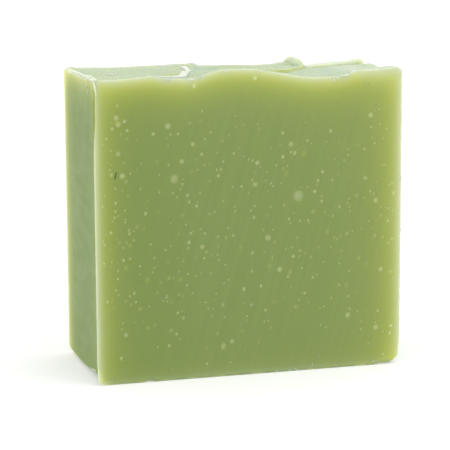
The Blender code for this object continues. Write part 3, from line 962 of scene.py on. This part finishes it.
# Crumbs and smears of soap left by the cutter: centre, half sizes, and the turn about Y in degrees.
CRUMBS = (
    # along the front cut's upper edge
    (19.9, -15.92, 65.6, 0.26, 0.12, 0.2, 0.0), (18.9, -15.92, 65.2, 0.2, 0.1, 0.28, 20.0),
    (21.4, -15.8, 66.1, 1.1, 0.4, 0.12, -6.0), (-13.4, -15.88, 66.5, 0.7, 0.12, 0.24, 8.0),
    (-18.8, -15.9, 66.55, 0.24, 0.1, 0.3, 0.0), (-18.2, -15.9, 66.15, 0.18, 0.1, 0.18, 0.0),
    (-11.2, -15.88, 66.8, 0.5, 0.12, 0.18, -25.0), (-5.5, -15.85, 67.95, 0.5, 0.2, 0.14, -18.0),
    (2.0, -15.85, 67.75, 0.28, 0.16, 0.18, 0.0),
    # along the left rim and down its front corner
    (-34.7, -13.2, 66.85, 0.5, 1.3, 0.36, 8.0), (-34.55, -11.0, 67.05, 0.66, 1.4, 0.44, 0.0),
    (-34.4, -8.4, 67.0, 0.6, 1.4, 0.36, -6.0), (-34.5, -5.4, 66.85, 0.5, 1.5, 0.26, 0.0),
    (-34.4, -2.0, 66.72, 0.45, 1.7, 0.2, 0.0), (-34.35, 2.2, 66.66, 0.45, 1.9, 0.18, 0.0),
    (-34.5, 6.4, 66.5, 0.4, 1.9, 0.18, 0.0), (-34.66, -15.3, 66.98, 0.42, 0.72, 0.34, 0.0),
    (-34.7, -15.94, 65.6, 0.22, 0.17, 1.7, -8.0),
    # on the left wall, near its top and at its foot
    (-35.02, -9.45, 65.4, 0.06, 0.3, 0.42, 0.0), (-35.02, -10.1, 64.15, 0.05, 0.22, 0.8, 0.0),
    (-34.62, -7.4, 2.0, 0.12, 2.0, 0.26, 0.0), (-34.6, -10.2, 2.35, 0.12, 1.6, 0.42, 0.0),
    # on the poured top
    (-28.0, -2.7, 66.6, 1.3, 0.5, 0.1, 0.0), (0.6, 6.7, 66.7, 0.5, 0.35, 0.1, 0.0),
    (11.8, 1.3, 66.5, 0.45, 0.35, 0.1, 0.0),
    # on the front cut's right edge
    (34.98, -15.72, 42.5, 0.08, 0.14, 0.7, 0.0), (34.98, -15.72, 30.8, 0.06, 0.12, 0.5, 0.0),
    # along the front cut's foot
    (28.9, -15.84, 0.8, 0.9, 0.1, 0.12, -12.0), (31.4, -15.8, 1.0, 0.5, 0.1, 0.08, -8.0),
    (8.9, -15.84, 0.3, 0.5, 0.1, 0.12, 0.0), (10.4, -15.84, 0.32, 0.7, 0.1, 0.1, 20.0),
    (5.8, -15.84, 0.3, 0.45, 0.1, 0.1, 0.0), (14.15, -15.86, 1.0, 0.09, 0.08, 0.7, 8.0),
    (15.7, -15.87, 3.0, 0.05, 0.06, 0.8, 0.0), (-33.2, -15.86, 0.7, 0.8, 0.1, 0.08, -4.0),
    (-31.9, -15.86, 0.85, 0.5, 0.1, 0.07, -4.0),
)


def add_lump(bm, place, sizes, turn, seed):
    """A small uneven lump. The seed sets where it bulges."""
    made = bmesh.ops.create_icosphere(bm, subdivisions=3, radius=1.0)["verts"]
    c, s = math.cos(math.radians(turn)), math.sin(math.radians(turn))
    for vert in made:
        swell = 1.0 + 0.35 * noise.noise(vert.co * 1.7 + Vector((seed, 0.0, 0.0)))
        dx, dy, dz = (vert.co[i] * sizes[i] * swell for i in range(3))
        vert.co = (place[0] + c * dx + s * dz, place[1] + dy, place[2] + c * dz - s * dx)


def build_crumbs():
    """All the crumbs and smears, as one piece."""
    bm = bmesh.new()
    for k, (x, y, z, across, deep, tall, turn) in enumerate(CRUMBS):
        add_lump(bm, (x, y, z), (across, deep, tall), turn, 3.7 * k)
    return mesh_piece("rim_crumbs", bm, pale_material("crumb", CRUMB_PALE, CRUMB_WHITE))


def build_herb():
    """A sliver of dried leaf caught in the front cut, and one dark speck."""
    bm = bmesh.new()
    add_lump(bm, (-30.4, -HALF_T, 46.25), (0.16, 0.06, 0.9), turn=14.0, seed=2.0)
    add_lump(bm, (27.1, -HALF_T, 64.0), (0.1, 0.04, 0.1), turn=0.0, seed=5.0)
    return mesh_piece("herb_fleck", bm, herb_material())


# ---------------------------------------------------------------- studio and camera

FLOOR_REACH = 3.0  # metres
FLOOR_GAP = 0.05 * MM  # keeps the floor just below the bar's foot


def build_floor():
    """A plain pale floor, which gives off a little light of its own to stay pale round the bar."""
    bm = bmesh.new()
    bmesh.ops.create_circle(bm, cap_ends=True, segments=96, radius=FLOOR_REACH)
    mesh = bpy.data.meshes.new("floor")
    bm.to_mesh(mesh)
    bm.free()
    floor = bpy.data.objects.new("floor", mesh)
    floor.location.z = low.z - FLOOR_GAP
    bpy.context.scene.collection.objects.link(floor)
    material, tree, shader = new_material("floor")
    feed_all(tree, shader, {
        "Base Color": (0.75, 0.75, 0.75, 1.0), "Roughness": 0.9, "Specular IOR Level": 0.0,
        "Emission Color": (1.0, 1.0, 1.0, 1.0), "Emission Strength": 0.33,
    })
    mesh.materials.append(material)


def build_world():
    """Even white light from all round."""
    world = bpy.data.worlds.new("studio")
    world.use_nodes = True
    background = world.node_tree.nodes["Background"]
    feed_all(world.node_tree, background, {"Color": (1.0, 1.0, 1.0, 1.0), "Strength": 1.0})
    bpy.context.scene.world = world


def add_softbox(name, place, size, power):
    """A square area light at a place in metres, facing the bar's middle. Its power is in watts."""
    data = bpy.data.lights.new(name, "AREA")
    data.shape = "SQUARE"
    data.size = size
    data.energy = power
    lamp = bpy.data.objects.new(name, data)
    lamp.location = Vector(place)
    aim = Vector((0.0, 0.0, HALF_W * MM)) - lamp.location
    lamp.rotation_mode = "QUATERNION"
    lamp.rotation_quaternion = aim.to_track_quat("-Z", "Y")
    bpy.context.scene.collection.objects.link(lamp)


def build_camera():
    """A long lens, a little left of the front and a little above, aimed just under the bar's middle."""
    azimuth, elevation, roll = math.radians(-15.75), math.radians(10.74), math.radians(-0.28)
    target = Vector((-0.0225, 0.0, 0.4436)) * WIDTH * MM
    distance = 6.6547 * WIDTH * MM
    back = Vector((
        math.sin(azimuth) * math.cos(elevation), -math.cos(azimuth) * math.cos(elevation),
        math.sin(elevation),
    ))
    data = bpy.data.cameras.new("camera")
    data.sensor_width = 36.0
    data.lens = 164.0
    data.clip_start, data.clip_end = 0.01, 20.0
    camera = bpy.data.objects.new("camera", data)
    camera.location = target + back * distance
    camera.rotation_mode = "QUATERNION"
    camera.rotation_quaternion = (-back).to_track_quat("-Z", "Y") @ Quaternion((0.0, 0.0, 1.0), roll)
    bpy.context.scene.collection.objects.link(camera)
    bpy.context.scene.camera = camera


build_camera()
build_world()
build_floor()
add_softbox("key", place=(0.25, -0.3, 0.85), size=0.6, power=1.6)

soap, *painted = build_soap()
paint_soap(soap, *painted)
soap.data.materials.append(soap_material())
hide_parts("soap_bar")
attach(soap, "root")
build_curl()
build_crumbs()
build_herb()

bpy.context.scene.view_settings.view_transform = "Standard"
